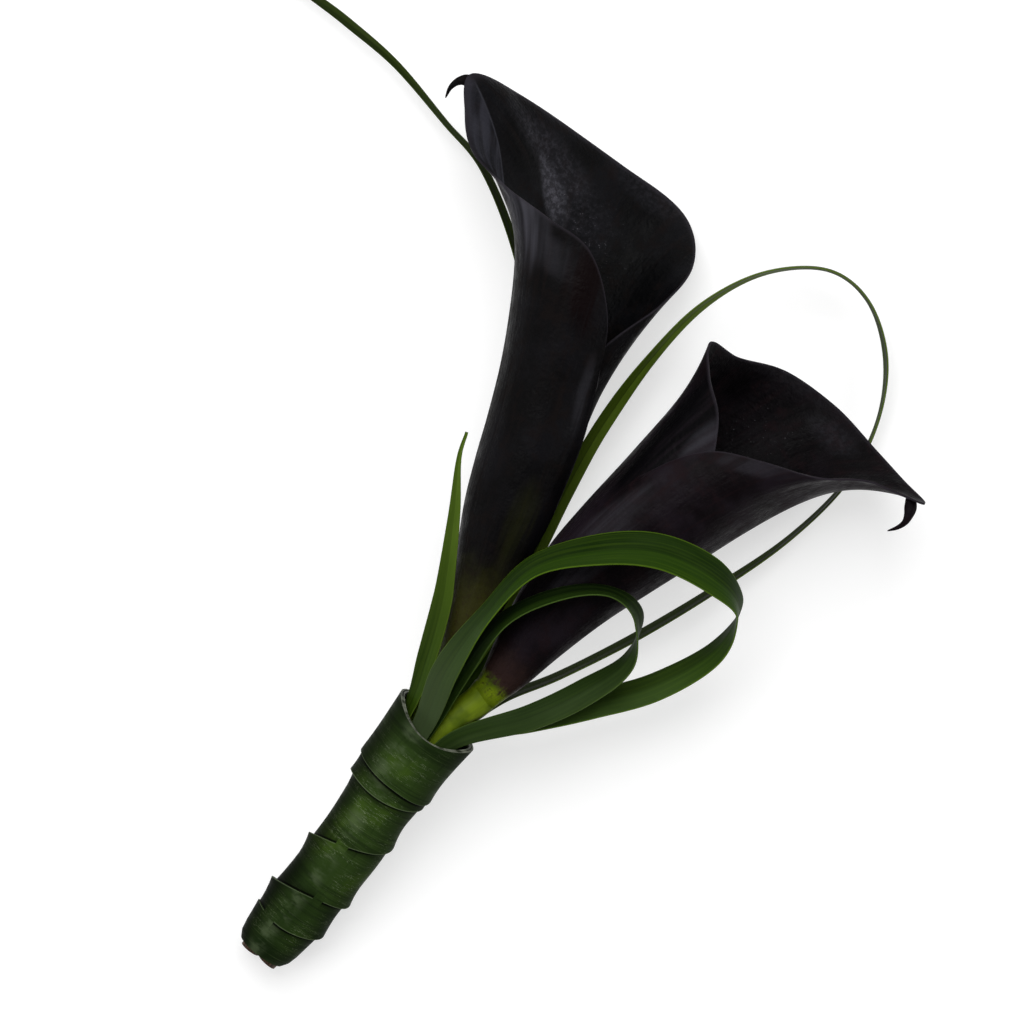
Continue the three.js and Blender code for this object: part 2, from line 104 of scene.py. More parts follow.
# Each flower has its own frame: "along" runs up the bloom, "across" to its right and "up"
# towards the sky. The tube is [along, across, up, radius]. The rim goes once round from the
# outer margin to the inner one: [turn in degrees, along, across, up, flare, curl]. The higher
# the flare, the closer to the rim the sheet turns out. The tail is [along, across, up, radius].
FLOWER_1 = {
    "base": (-1.6, 51.5, 15.7),
    "heading": -20.6,
    "hand": 1,
    "start": 3.5,
    "tube": [
        [-4.7, -2.5, -1.4, 2.9], [3.5, -1.1, -0.2, 2.9], [9, -0.4, 0.3, 3.4], [15, -0.1, 0.5, 4.2],
        [22, 0.1, 0.6, 5.1], [32, 0.5, 0.5, 6.9], [40, 0.8, 0.4, 7.6], [48, 1.1, 0.2, 8],
        [57, 1, 0, 8.3], [75, 0.8, -0.5, 9.8], [105, 1.2, -1.4, 10.6],
    ],
    "rim": [
        [24, 58, 9.2, 5.9, 6, 0],
        [50, 70, 7.4, 8.1, 6, 0],
        [85, 80, 1.2, 9.5, 6, 0],
        [120, 83.5, -7.5, 9, 6, 0],
        [150, 86.7, -16.3, 6, 10, 0.5],
        [172, 90.9, -23.6, 0.5, 12, 0.7],
        [195, 97.3, -26.8, -1, 12, 1.2],
        [212, 103.6, -27.7, 0.5, 12, 1],
        [235, 102.7, -18.2, -5, 9, 1],
        [262, 96.6, 1.6, -14, 7, 1],
        [300, 91.7, 14.5, -15.4, 6, 1.5],
        [335, 84, 19.1, -8, 5, 1.5],
        [365, 75.6, 16.2, 0.5, 5, 0.5],
        [390, 67.3, 9.9, 4.8, 6, 0],
        [410, 60, 5.3, 5.8, 6, 0],
    ],
    "tail": [
        [102.7, -26.5, 0.4, 0.8], [102.4, -28.1, 0.3, 1], [101.9, -29.2, 0.1, 0.75],
        [101.1, -30, -0.3, 0.55], [100, -30.5, -0.8, 0.4], [98.4, -30.7, -1.4, 0.25],
    ],
    "spadix_end": 66,
}

FLOWER_2 = {
    "base": (-0.3, 50.1, 15.7),
    "heading": 14.4,
    "hand": -1,
    "start": 4.5,
    "tube": [
        [-3.1, 3.3, 0, 2.9], [4.5, 2.9, 1, 2.9], [9.3, 1.9, 1.4, 3.7], [20, -1, 1.6, 6.1],
        [30, -2.8, 1.3, 8], [39, -3.4, 0.8, 9.4], [49, -3.7, 0.2, 10.7], [57, -3.9, -0.3, 11.6],
        [70, -3.8, -0.9, 12.8], [90, -3.9, -1.6, 14.7],
    ],
    "rim": [
        [48, 50, -10.5, 8.9, 5, 0],
        [60, 57.8, -8.6, 10.4, 5, 0],
        [78, 63.3, -5.6, 11.3, 5, 0],
        [95, 68.4, 0.6, 12.2, 5, 0],
        [115, 74, 8.5, 11, 7, 0],
        [140, 80.2, 14, 8, 10, 0],
        [165, 83.4, 19.1, 4.5, 11, 0],
        [188, 86.2, 23.8, 1.5, 12, 0],
        [212, 85.9, 18.5, -3, 10, 0],
        [240, 85.5, 11, -9.5, 8, 0],
        [270, 84.8, 1.1, -15.8, 7, 0],
        [305, 81.7, -9.2, -13, 6, 0.5],
        [345, 76.5, -16.1, -3, 6, 0.5],
        [372, 74.2, -21.3, 3, 7, 0.5],
        [388, 70.3, -16.8, 7.5, 6, 0],
        [408, 67.2, -10.4, 10, 6, 0],
        [430, 61.5, -4.5, 10, 6, 0],
    ],
    "tail": [
        [85, 21.4, 1.8, 0.9], [83.8, 22.8, 1.3, 1.1], [82.6, 23.7, 0.8, 0.8],
        [81.4, 24.2, 0.4, 0.55], [79.9, 24.1, 0, 0.4], [78.2, 23.5, -0.3, 0.25],
    ],
    "spadix_end": 56,
}

# Stems, whose place in the wrap is (across, up), and spadices
STEM_RADIUS = 2.2
STEM_1_IN_WRAP = (-2.1, -1.2)
STEM_2_IN_WRAP = (2.45, 0.2)
STEM_CUT_END = -5.75
STEM_CUT_RADIUS = 1.8
STEM_BELOW_BLOOM = 2.66
STEM_IN_BLOOM = 1.8
STEM_TOP = 22
STEM_SAMPLES, STEM_SIDES = 90, 40
SPADIX_START = 22.3
SPADIX_RADIUS = 2.6
SPADIX_SAMPLES, SPADIX_SIDES = 260, 96
# Beads of a spadix lie where two sets of spirals cross
BEAD_PITCH = 0.9
BEAD_SPIRALS = 8
BEAD_HEIGHT = 0.11
BEAD_SINK = 0.08

# The spathe's foot narrows onto the stem, which swells to meet it
FOOT_LENGTH = 8
FOOT_RADIUS = 2.7
STEM_AT_FOOT = 2.74
STEM_IN_FOOT = STEM_AT_FOOT + 0.1

# Sheet of a spathe. The higher the crowding, the closer together its columns lie at the rim.
SHEET_ROWS_A_SPAN = 14
SHEET_COLUMNS = 73
SHEET_CROWDING = 1.6
# Its thickness at the foot, what it gains above it, and that of its rim
SHEET_AT_FOOT = 0.08
SHEET_GAIN = 0.67
SHEET_AT_RIM = 0.34
# Low folds that run up each sheet: how many go once round it, and their height
FOLDS_1 = (9, 14, 23)
FOLDS_2 = (8, 13, 21)
FOLD_HEIGHT = 0.06
# Crest, a fold inside the flared rim: its place and width round the spathe, its place towards
# the rim, and its height
CREST_1 = (0.4, 0.1, 0.76, 0.9)
CREST_2 = (0.47, 0.08, 0.8, 0.3)
CREST_REACH = 0.3
# The tail's root lies this far below the sheet's corner, at its first stations
TAIL_SINK = (1.0, 0.5)
TAIL_SAMPLES, TAIL_SIDES = 40, 20
# Its least radius, and its height for its width at the root
TAIL_TIP = 0.05
TAIL_FLAT = 0.45
# Place of the tail on the sheet's UV maps
TAIL_UV = (0.5, 9.5)
TAIL_RIM_UV = 0.5

# Blades: columns from edge to edge, how deep the keel in the middle is for their width, up to
# which width it deepens, and how round it is
BLADE_ROWS_A_SPAN = 12
BLADE_COLUMNS = np.array([-1, -0.93, -0.8, -0.6, -0.4, -0.2, -0.07, 0,
                          0.07, 0.2, 0.4, 0.6, 0.8, 0.93, 1])
BLADE_KEEL = -0.07
KEEL_WIDTH = 6
KEEL_ROUND = 0.004
# Half their thickness in the middle, what it loses at the edges, and the width below which
# blades are thinner
BLADE_HALF_THICKNESS = 0.22
BLADE_EDGE_LOSS = 0.55
BLADE_FULL_WIDTH = 2


def spline(stations, t):
    """Smooth curve through evenly counted stations, at t from 0 to 1: one row a value of t."""
    p = np.asarray(stations, float)
    count = len(p) - 1
    place = np.clip(np.asarray(t, float), 0, 1) * count
    i = np.minimum(place.astype(int), count - 1)
    f = (place - i)[..., None]
    here, after_here = p[i], p[i + 1]
    before = np.where((i > 0)[..., None], p[np.maximum(i - 1, 0)], 2 * here - after_here)
    after = np.where((i + 2 <= count)[..., None], p[np.minimum(i + 2, count)], 2 * after_here - here)
    slope = (after_here - before) * f
    bend = (2 * before - 5 * here + 4 * after_here - after) * f**2
    rest = (3 * here - before - 3 * after_here + after) * f**3
    return here + 0.5 * (slope + bend + rest)


def look_up(table, x):
    """Smooth values at x from a table of rows [x, value ...], straight on past its ends."""
    table = np.asarray(table, float)
    xs, values = table[:, 0], table[:, 1:]
    last = len(table) - 1
    k = np.arange(last + 1)
    low, high = np.maximum(k - 1, 0), np.minimum(k + 1, last)
    slope = (values[high] - values[low]) / (xs[high] - xs[low])[:, None]
    x = np.asarray(x, float)
    i = np.clip(np.searchsorted(xs, x) - 1, 0, last - 1)
    length = (xs[i + 1] - xs[i])[..., None]
    f = (x - xs[i])[..., None] / length
    g = np.clip(f, 0, 1)
    start, end = values[i], values[i + 1]
    inside = start + (end - start) * g * g * (3 - 2 * g)
    inside = inside + g * (1 - g) ** 2 * slope[i] * length - g * g * (1 - g) * slope[i + 1] * length
    return inside + np.minimum(f, 0) * slope[0] * length + np.maximum(f - 1, 0) * slope[last] * length


def handle_point(across, distance, up):
    """Point at a distance up the handle's line, across to its right and up from it."""
    bow = look_up(HANDLE_BOW, distance)[..., 0]
    return np.stack(np.broadcast_arrays(
        across + bow,
        distance * math.cos(HANDLE_TILT) - up * math.sin(HANDLE_TILT),
        HANDLE_HEIGHT + distance * math.sin(HANDLE_TILT) + up * math.cos(HANDLE_TILT),
    ), -1)


def flower_point(flower, along, across, up):
    """Point in the frame of a flower."""
    heading = math.radians(flower["heading"])
    x, y, z = flower["base"]
    return np.stack(np.broadcast_arrays(
        x + along * math.sin(heading) + across * math.cos(heading),
        y + along * math.cos(heading) - across * math.sin(heading),
        z + up,
    ), -1)


def held(across, distance, up, roll, width):
    """Station of a blade that is held in the wrap."""
    return [*handle_point(across, distance, up), roll, width]


# Blades of lily grass: [x, y, z, roll, width] at stations along each. At roll 0 a blade lies
# flat, and it turns about its own length as the roll grows.
BLADES = {
    "blade_short": [
        held(-4.3, 34, 2.2, -50, 2.8),
        held(-5.1, 46, 2.2, -50, 3),
        [-8.15, 54, 18.5, -45, 4.7],
        [-11.4, 62, 20, -38, 4.4],
        [-14, 67, 20, -34, 3.6],
        [-19.7, 76.7, 20.5, -30, 2.3],
        [-24.7, 84.4, 21, -30, 1],
        [-26.5, 89, 21, -30, 0.6],
    ],
    "blade_arched": [
        held(-0.7, 34, -4.9, 0, 2.4),
        held(-0.8, 46, -5.6, 0, 3),
        [0, 60.5, 7, 0, 3],
        [-5, 77.5, 5, 0, 3],
        [-15, 96, 4, 20, 2.6],
        [-27, 109, 3, 35, 2.4],
        [-39.3, 119.5, 2.5, 50, 2.2],
        [-52.3, 127.2, 2.5, 52, 2],
        [-62.5, 129.5, 3, 60, 1.9],
        [-75.3, 132.3, 3.5, 35, 1.6],
        [-86, 133, 3.5, 10, 1.7],
        [-93, 133, 3, 10, 1.6],
        [-100, 132.5, 2.5, 10, 1.2],
        [-106, 131.5, 1.5, 10, 0.6],
    ],
    "blade_loop_large": [
        held(-2.2, 34, -4, 0, 3.2),
        held(-2.4, 46, -4.4, 0, 3.6),
        [-2, 60, 8.5, 0, 3.6],
        [-4, 77, 7.5, 0, 3.4],
        [-6.7, 91.5, 8, 0, 3.1],
        [-8.5, 104, 9, 10, 2.8],
        [-9, 118, 9.5, 50, 2.9],
        [-7.5, 131.5, 9, 68, 3.2],
        [-2.5, 142.5, 8.5, 80, 3],
        [6, 149.8, 7, 86, 3],
        [15, 149.9, 5.5, 84, 3],
        [23.6, 143.9, 4, 78, 3.2],
        [29.2, 134.2, 3, 84, 3],
        [31.3, 122.4, 3, 78, 3],
        [29.5, 109, 4, 74, 3.1],
        [25.2, 95.3, 5.5, 70, 3.6],
        [19, 79.4, 7, 68, 3.8],
        [12.2, 65.2, 9, 68, 3.6],
        [6.5, 55.5, 11, 60, 3.4],
        held(3.1, 46, -3.2, 30, 3.4),
        held(2.7, 34, -3, 30, 3),
    ],
    "blade_loop_middle": [
        held(-1.1, 34, 3.5, -10, 3.6),
        held(-1.5, 46, 4, -15, 4),
        [-4.05, 54, 22.5, -38, 6],
        [-4.5, 66, 26.5, -66, 6.8],
        [-3, 77.5, 29.5, -60, 7],
        [4.5, 87, 31.5, -42, 7.2],
        [13, 93, 31, -32, 7.2],
        [23, 95.1, 27.5, -34, 6.9],
        [29.8, 93.2, 22, -80, 6.6],
        [31, 85, 16.5, -128, 5.8],
        [26.5, 74, 14, -150, 5.6],
        [19.5, 64.5, 14, -147, 5.6],
        [13, 55.5, 14.5, -125, 5],
        held(5.5, 46, 0, -95, 3.8),
        held(5.1, 34, 0, -92, 3.4),
    ],
    "blade_loop_small": [
        held(-0.9, 34, 2.6, -5, 3.2),
        held(-1, 46, 2.9, -8, 3.8),
        [-2, 55, 21, -30, 4.6],
        [-1.5, 67, 26.5, -58, 4.6],
        [3.5, 76.5, 29, -62, 4.6],
        [10, 82, 28, -68, 4.6],
        [16.6, 81.6, 24.5, -66, 4.8],
        [19.9, 74.6, 21, -122, 5],
        [17.3, 65.9, 19.5, -155, 5.1],
        [12.5, 56.5, 18.5, -170, 4.6],
        held(4.1, 46, 3, -200, 3.2),
        held(3.6, 34, 2.9, -205, 2.8),
    ],
}


# Mesh building

def unit(v):
    return v / np.maximum(np.linalg.norm(v, axis=-1, keepdims=True), 1e-12)


def make_piece(name, points, faces, uvs, looks, face_look=None):
    """Mesh object from points in millimetres; uvs has one [u, v] a point for each UV map."""
    mesh = bpy.data.meshes.new(name)
    mesh.from_pydata((np.asarray(points) * MM).tolist(), [], [tuple(int(k) for k in f) for f in faces])
    corner = np.empty(len(mesh.loops), int)
    mesh.loops.foreach_get("vertex_index", corner)
    for map_name, uv in uvs.items():
        layer = mesh.uv_layers.new(name=map_name)
        layer.data.foreach_set("uv", np.asarray(uv, np.float32)[corner].ravel())
    for look in looks:
        mesh.materials.append(look)
    if face_look is not None:
        mesh.polygons.foreach_set("material_index", np.asarray(face_look, np.int32))
    mesh.polygons.foreach_set("use_smooth", np.ones(len(mesh.polygons), bool))
    mesh.update()
    piece = bpy.data.objects.new(name, mesh)
    bpy.context.scene.collection.objects.link(piece)
    return piece


def dress(piece, node):
    """Piece that rides on the one body in place of a node of the part."""
    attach(piece, "root")
    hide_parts(node)


def grid_faces(rows, columns, offset=0, closed=False, flip=False):
    """Quads of a grid of points that starts at the index offset and may close round its rows."""
    i = np.arange(rows - 1)[:, None]
    j = np.arange(columns if closed else columns - 1)[None, :]
    k = (j + 1) % columns
    quads = np.stack(np.broadcast_arrays(i * columns + j, (i + 1) * columns + j,
                                         (i + 1) * columns + k, i * columns + k), -1).reshape(-1, 4)
    return (quads[:, ::-1] if flip else quads) + offset


def frames_along(stations, t, roll):
    """Directions across a strip or rod and out of its face at each t, rolled from level."""
    ahead = spline(stations, np.minimum(t + STEP, 1))[:, :3]
    behind = spline(stations, np.maximum(t - STEP, 0))[:, :3]
    travel = unit(ahead - behind)
    level = unit(np.cross(travel, [0.0, 0.0, 1.0]))
    sky = np.cross(level, travel)
    turn = np.radians(roll)[:, None]
    face = sky * np.cos(turn) + level * np.sin(turn)
    return np.cross(travel, face), face


def tube_faces(rows, columns, offset=0):
    """Faces of a closed tube of points that starts at the index offset: one face over each end."""
    faces = grid_faces(rows, columns, offset, closed=True).tolist()
    last = offset + (rows - 1) * columns
    faces.append(list(range(offset, offset + columns)))
    faces.append(list(range(last, last + columns))[::-1])
    return faces


def rod_points(stations, t, turn, radius, flat=1.0):
    """Points of a rod: a row for each t and a column for each turn; flat is its height for its width."""
    wide, face = frames_along(stations, t, np.zeros(len(t)))
    around = np.cos(turn)[:, None] * wide[:, None] + flat * np.sin(turn)[:, None] * face[:, None]
    return spline(stations, t)[:, None, :3] + radius[..., None] * around


def run_length(points):
    """Length from the first of the points to each of them."""
    steps = np.linalg.norm(np.diff(points, axis=0), axis=1)
    return np.concatenate([[0], np.cumsum(steps)])


# Materials

# Light on a level surface, as a multiple of what shows a base colour as it is
LIGHT_LEVEL = 1.25
# Length, in centimetres, over which a blade's tones change to its late ones
LATE_LENGTH = 4


def tone(red, green, blue):
    """Base colour that shows as these display values, 0 to 255, on a level surface in the light."""
    def linear(c):
        c /= 255
        c = c / 12.92 if c <= 0.04045 else ((c + 0.055) / 1.055) ** 2.4
        return c / LIGHT_LEVEL
    return (linear(red), linear(green), linear(blue), 1.0)


class Nodes:
    """Node tree under construction. Most methods add nodes and give an output of the last one."""

    def __init__(self, tree):
        self.tree = tree

    def node(self, kind, inputs=(), **settings):
        made = self.tree.nodes.new("ShaderNode" + kind)
        for key, value in settings.items():
            setattr(made, key, value)
        for key, value in dict(inputs).items():
            self.feed(made.inputs[key], value)
        return made

    def feed(self, socket, value):
        if isinstance(value, bpy.types.NodeSocket):
            self.tree.links.new(value, socket)
        else:
            socket.default_value = value

    def math(self, operation, a, b=0.0, clamp=False):
        return self.node("Math", {0: a, 1: b}, operation=operation, use_clamp=clamp).outputs[0]

    def chain(self, operation, value, *others):
        for other in others:
            value = self.math(operation, value, other)
        return value

    def times(self, *factors):
        return self.chain("MULTIPLY", *factors)

    def plus(self, *terms):
        return self.chain("ADD", *terms)

    def minus(self, a, b):
        return self.math("SUBTRACT", a, b)

    def uv(self, name):
        return self.node("UVMap", uv_map=name).outputs[0]

    def split(self, vector):
        made = self.node("SeparateXYZ", {0: vector})
        return made.outputs[0], made.outputs[1]

    def noise(self, vector, scale, detail, roughness):
        return self.node("TexNoise", {"Vector": vector, "Scale": scale, "Detail": detail,
                                      "Roughness": roughness}).outputs["Fac"]

    def cloud(self, scale, detail=3, roughness=0.6):
        """Noise in the object's own space."""
        place = self.node("TexCoord").outputs["Object"]
        return self.noise(place, scale, detail, roughness)

    def streaks(self, vector, x, y, detail=3, roughness=0.6, scale=1.0):
        """Noise on a UV map, finer the larger x and y are along its two axes."""
        stretched = self.node("Mapping", {"Vector": vector, "Scale": (x, y, 1.0)}).outputs[0]
        return self.noise(stretched, scale, detail, roughness)

    def smooth(self, value, low, high, to_low=0.0, to_high=1.0):
        return self.node("MapRange", {"Value": value, "From Min": low, "From Max": high,
                                      "To Min": to_low, "To Max": to_high},
                         interpolation_type="SMOOTHSTEP").outputs[0]

    def mix(self, factor, a, b):
        return self.node("Mix", {0: factor, 6: a, 7: b}, data_type="RGBA").outputs[2]

    def fade(self, a, b, *step):
        """Colour a with as much of b over it as a smooth step says."""
        return self.mix(self.smooth(*step), a, b)

    def patch(self, u, v, at, size, strength):
        """Soft round patch on two coordinates, from its strength in the middle to 0 at its border."""
        du = self.math("DIVIDE", self.minus(u, at[0]), size[0])
        dv = self.math("DIVIDE", self.minus(v, at[1]), size[1])
        apart = self.plus(self.times(du, du), self.times(dv, dv))
        return self.smooth(apart, 0, 1, strength, 0)


class Look(Nodes):
    """Node material under construction."""

    def __init__(self, name, **shader):
        self.material = bpy.data.materials.new(name)
        self.material.use_nodes = True
        super().__init__(self.material.node_tree)
        self.shader = self.tree.nodes["Principled BSDF"]
        for socket, value in shader.items():
            self.shader.inputs[socket.replace("_", " ")].default_value = value

    def finish(self, color, roughness, height, bump, depth):
        """Material with this relief: how strongly it shows, and its depth in metres."""
        relief = self.node("Bump", {"Strength": bump, "Distance": depth, "Height": height})
        self.feed(self.shader.inputs["Base Color"], color)
        self.feed(self.shader.inputs["Roughness"], roughness)
        self.feed(self.shader.inputs["Normal"], relief.outputs[0])
        return self.material


def blade_look(name, shaded_half, light, edge, foot, foot_to, keel_shade, late, late_from):
    """Ribbed grass leaf: two halves whose tones are painted shade and light on its keel's faces, a painted
    shade line down the keel, fine ribs along it and thin pale edges.
    """
    look = Look(name, Specular_IOR_Level=0.025)
    across, along = look.split(look.uv("place"))
    grain = look.uv("grain")
    ribs = look.streaks(grain, 24, 0.3, 2, 0.5)
    fine = look.streaks(grain, 75, 0.7, 2, 0.6)
    patches = look.streaks(grain, 1.5, 0.5)
    from_middle = look.math("ABSOLUTE", look.minus(across, 0.5))
    # Painted shade and light: the two halves, early and late, get the tones of the keel's shaded and lit
    # faces
    color = look.fade(shaded_half, light, across, 0.44, 0.58)
    late_color = look.fade(late[0], late[1], across, 0.4, 0.6)
    color = look.fade(color, late_color, along, late_from, late_from + LATE_LENGTH)
    color = look.fade(color, edge, ribs, 0.4, 0.7, 0, 0.12)
    color = look.fade(color, edge, fine, 0.5, 0.8, 0, 0.12)
    color = look.fade(color, look.mix(0.5, shaded_half, late[0]), patches, 0.35, 0.7, 0, 0.45)
    # Painted shade in the keel's crease
    color = look.fade(color, tone(20, 30, 12), from_middle, 0.01, 0.05, keel_shade, 0)
    color = look.fade(color, edge, from_middle, 0.465, 0.495, 0, 0.6)
    color = look.fade(color, foot, along, foot_to / 3, foot_to, 0.8, 0)
    height = look.plus(look.times(ribs, 0.7), look.times(fine, 0.3))
    roughness = look.smooth(patches, 0.3, 0.7, 0.38, 0.55)
    return look.finish(color, roughness, height, 0.15, 0.00025)


def green_flesh(look, dull):
    """Fleshy yellow-green of stem and foot, the same on both sides of where they meet."""
    cloud = look.cloud(150)
    bright = look.fade(tone(64, 84, 6), tone(110, 130, 18), cloud, 0.35, 0.65)
    return look.mix(dull, bright, tone(58, 60, 16))


def facet_painted_light(look, color, around, rimwards, start, end, foot):
    """Painted light on the folded margin from start to end round the spathe: a pale lit facet, a painted
    highlight along its ridge and painted shade in the hollow inside.
    """
    share = look.math("DIVIDE", look.minus(around, start), end - start, clamp=True)
    climb = look.times(look.math("POWER", share, 1.6), 1.0 - foot)
    past = look.minus(rimwards, look.plus(climb, foot))
    begun = look.smooth(around, start - 0.05, start)
    here = look.times(begun, look.smooth(around, end - 0.02, end, 1, 0))
    streaks = look.streaks(look.uv("rim"), 70, 4)
    hollow_shade = look.times(look.smooth(past, -0.045, 0.0), look.smooth(past, 0.0, 0.002, 1, 0))
    color = look.mix(look.times(hollow_shade, here, 0.6), color, tone(9, 8, 11))
    lit_facet = look.times(look.smooth(past, 0.0, 0.003), look.smooth(streaks, 0.38, 0.62, 0.15, 1))
    color = look.mix(look.times(lit_facet, here, 0.7), color, tone(54, 54, 62))
    # Painted highlight along the ridge
    line = look.smooth(look.math("ABSOLUTE", past), 0.0, 0.003, 1, 0)
    return look.mix(look.times(line, here, 0.45), color, tone(72, 72, 80))


def spathe_look(name, body, lit, warm, foot, patches, specks=(), facet_light=None):
    """Dark satin petal-like leaf: veins, mottling, patches (pale ones painted highlights, a dark one
    painted shade), specks and a painted highlight along the rim. Its outside has a foot.
    """
    inside = foot is None
    look = Look(name, Specular_IOR_Level=0.045)
    place = look.uv("place")
    around, along = look.split(place)
    rimwards, _ = look.split(look.uv("rim"))
    veins = look.streaks(place, 70, 0.6)
    fine = look.streaks(place, 330, 2.5, 3, 0.65)
    cloud = look.cloud(85, 4, 0.6)
    mottle = look.cloud(260, 4, 0.65)
    grain = look.cloud(1200, 3, 0.7)
    dust = look.cloud(4200, 1, 0.5)
    color = look.fade(body, lit, cloud, 0.38, 0.64)
    color = look.fade(color, warm, mottle, 0.5, 0.68, 0, 0.6)
    color = look.fade(color, warm, veins, 0.52, 0.72, 0, 0.5)
    color = look.fade(color, lit, fine, 0.54, 0.74, 0, 0.15)
    color = look.fade(color, body, fine, 0.46, 0.3, 0, 0.2)
    if inside:
        patch_breakup = look.smooth(grain, 0.4, 0.66, 0.3, 1)
    else:
        strokes = look.streaks(place, 28, 0.25, 3, 0.5)
        patch_breakup = look.smooth(strokes, 0.4, 0.6, 0.2, 1)
    # Patches of the petal's own colour and of painted highlight and shade, broken up by grain or strokes
    for at, size, strength, shade in patches:
        there = look.patch(around, rimwards, at, size, strength)
        color = look.mix(look.times(there, patch_breakup), color, shade)
    if facet_light:
        color = facet_painted_light(look, color, around, rimwards, *facet_light)
    if not inside:
        # The foot: green, then brown, its border broken up by veins and blots
        brown, dull, green_end, brown_end = foot
        ragged = look.times(look.minus(veins, 0.5), 0.4 * green_end)
        blots = look.times(look.minus(mottle, 0.5), 1.1 * green_end)
        fray = look.times(look.minus(grain, 0.5), 0.5 * green_end)
        shifted = look.plus(look.plus(along, fray), look.plus(ragged, blots))
        color = look.fade(color, brown, shifted, brown_end * 0.45, brown_end, 0.9, 0)
        color = look.fade(color, green_flesh(look, dull), shifted, green_end * 0.8, green_end * 1.25, 1, 0)
        freckles = look.times(look.smooth(grain, 0.56, 0.64, 0, 0.7),
                             look.smooth(along, green_end * 0.7, green_end))
        color = look.mix(look.times(freckles, look.smooth(along, green_end, brown_end, 1, 0)),
                         color, tone(40, 26, 18))
    speck = look.times(look.smooth(dust, 0.62, 0.76), look.smooth(grain, 0.54, 0.64))
    for at, size, strength in specks:
        there = look.patch(around, rimwards, at, size, strength)
        color = look.mix(look.times(speck, there), color, tone(120, 118, 124))
    # Painted highlight along the rim's edge
    color = look.fade(color, tone(54, 50, 57), rimwards, 0.99, 1.0, 0, 0.45)
    height = look.plus(look.times(veins, 0.6), look.times(grain, 0.6), look.times(mottle, 0.5))
    roughness = look.smooth(mottle, 0.35, 0.65, 0.38, 0.6)
    return look.finish(color, roughness, height, 0.7 if inside else 0.5, 0.0005)


def stem_look():
    """Fleshy green stem with a brown cut end."""
    look = Look("stem_flesh", Specular_IOR_Level=0.15)
    place = look.uv("place")
    _, along = look.split(place)
    streaks = look.streaks(place, 9, 1.2)
    color = look.fade(green_flesh(look, 0.0), tone(70, 90, 10), streaks, 0.45, 0.7, 0, 0.3)
    cut = look.fade(tone(44, 26, 18), tone(96, 72, 50), streaks, 0.4, 0.6)
    color = look.fade(color, cut, along, 0.12, 0.35, 1, 0)
    return look.finish(color, look.smooth(streaks, 0.3, 0.7, 0.42, 0.6), streaks, 0.15, 0.0003)


def spadix_look():
    """Yellow beads with paler flecks."""
    look = Look("spadix_beads", Specular_IOR_Level=0.25)
    cloud = look.cloud(300)
    fine = look.cloud(2400, 2, 0.6)
    color = look.fade(tone(178, 132, 32), tone(214, 178, 70), cloud, 0.3, 0.7)
    color = look.fade(color, tone(238, 214, 130), fine, 0.5, 0.8, 0, 0.5)
    return look.finish(color, look.smooth(fine, 0.3, 0.7, 0.6, 0.85), fine, 0.4, 0.0002)


def wrap_look():
    """Waxy leaf wound up the handle: parallel veins, blotches, painted shade under its edges and on its
    flanks, and painted highlights on its lips and left of the top.
    """
    look = Look("wrap_leaf_wax", Specular_IOR_Level=0.01)
    band = look.uv("grain")
    turned, _ = look.split(band)
    veins = look.streaks(band, 0.35, 9)
    fine = look.streaks(band, 0.8, 46, 2, 0.6)
    cracks = look.streaks(band, 0.5, 5.5, 4, 0.75, 1.3)
    cross = look.streaks(band, 9, 0.8)
    cloud = look.cloud(90, 3, 0.55)
    wide = look.cloud(45, 2, 0.5)
    color = look.fade(tone(24, 38, 16), tone(46, 65, 27), wide, 0.42, 0.58)
    color = look.fade(color, tone(70, 96, 28), cloud, 0.54, 0.68, 0, 0.5)
    color = look.fade(color, tone(20, 30, 14), veins, 0.45, 0.65, 0, 0.5)
    color = look.fade(color, tone(90, 106, 66), fine, 0.58, 0.8, 0, 0.45)
    color = look.fade(color, tone(16, 26, 10), cross, 0.55, 0.75, 0, 0.4)
    line = look.math("ABSOLUTE", look.minus(cracks, 0.5))
    line = look.times(look.smooth(line, 0.0, 0.007, 1, 0), look.smooth(cloud, 0.46, 0.58, 0, 0.9))
    color = look.mix(line, color, tone(124, 138, 104))
    # Painted highlight left of the top, and painted shade on the flanks, a quarter turn from it,
    # the left one darker than the right
    flank = look.math("SINE", look.math("DIVIDE", turned, GRAIN_A_RADIAN))
    painted_gloss = look.smooth(look.math("ABSOLUTE", look.plus(flank, 0.25)), 0.05, 0.45, 1, 0)
    gloss_streaks = look.streaks(band, 1.2, 2.2, 4, 0.65)
    painted_gloss = look.times(painted_gloss, look.smooth(gloss_streaks, 0.45, 0.6))
    color = look.mix(look.times(painted_gloss, 0.38), color, tone(96, 110, 80))
    color = look.fade(color, tone(6, 10, 3), flank, -0.9, -0.25, 0.82, 0)
    color = look.fade(color, tone(14, 20, 9), flank, 0.35, 1.0, 0, 0.5)
    # Painted shade near the edges that cover this layer, and a painted highlight near its own
    # edges: distances, in centimetres, from these edges
    for distance in look.split(look.uv("shade_under_edges")):
        color = look.fade(color, tone(10, 14, 8), distance, 0.0, 0.2, 0.5, 0)
        color = look.fade(color, tone(4, 6, 3), distance, 0.02, 0.055, 0.95, 0)
    for distance in look.split(look.uv("lip_highlight")):
        color = look.fade(color, tone(100, 114, 84), distance, 0.01, 0.022, 0.55, 0)
    height = look.plus(look.times(veins, 0.5), look.times(fine, 0.25), look.times(cross, 0.25))
    roughness = look.smooth(veins, 0.3, 0.7, 0.35, 0.55)
    return look.finish(color, roughness, height, 0.4, 0.0003)


def wrap_edge_look():
    """Cut edge of the leaf at the mouth: grey-green fibres."""
    look = Look("wrap_cut_edge", Specular_IOR_Level=0.15)
    grain = look.streaks(look.uv("grain"), 3, 24)
    color = look.fade(tone(44, 50, 36), tone(120, 124, 110), grain, 0.35, 0.65)
    return look.finish(color, look.smooth(grain, 0.3, 0.7, 0.45, 0.65), grain, 0.3, 0.0002)


# Spathes

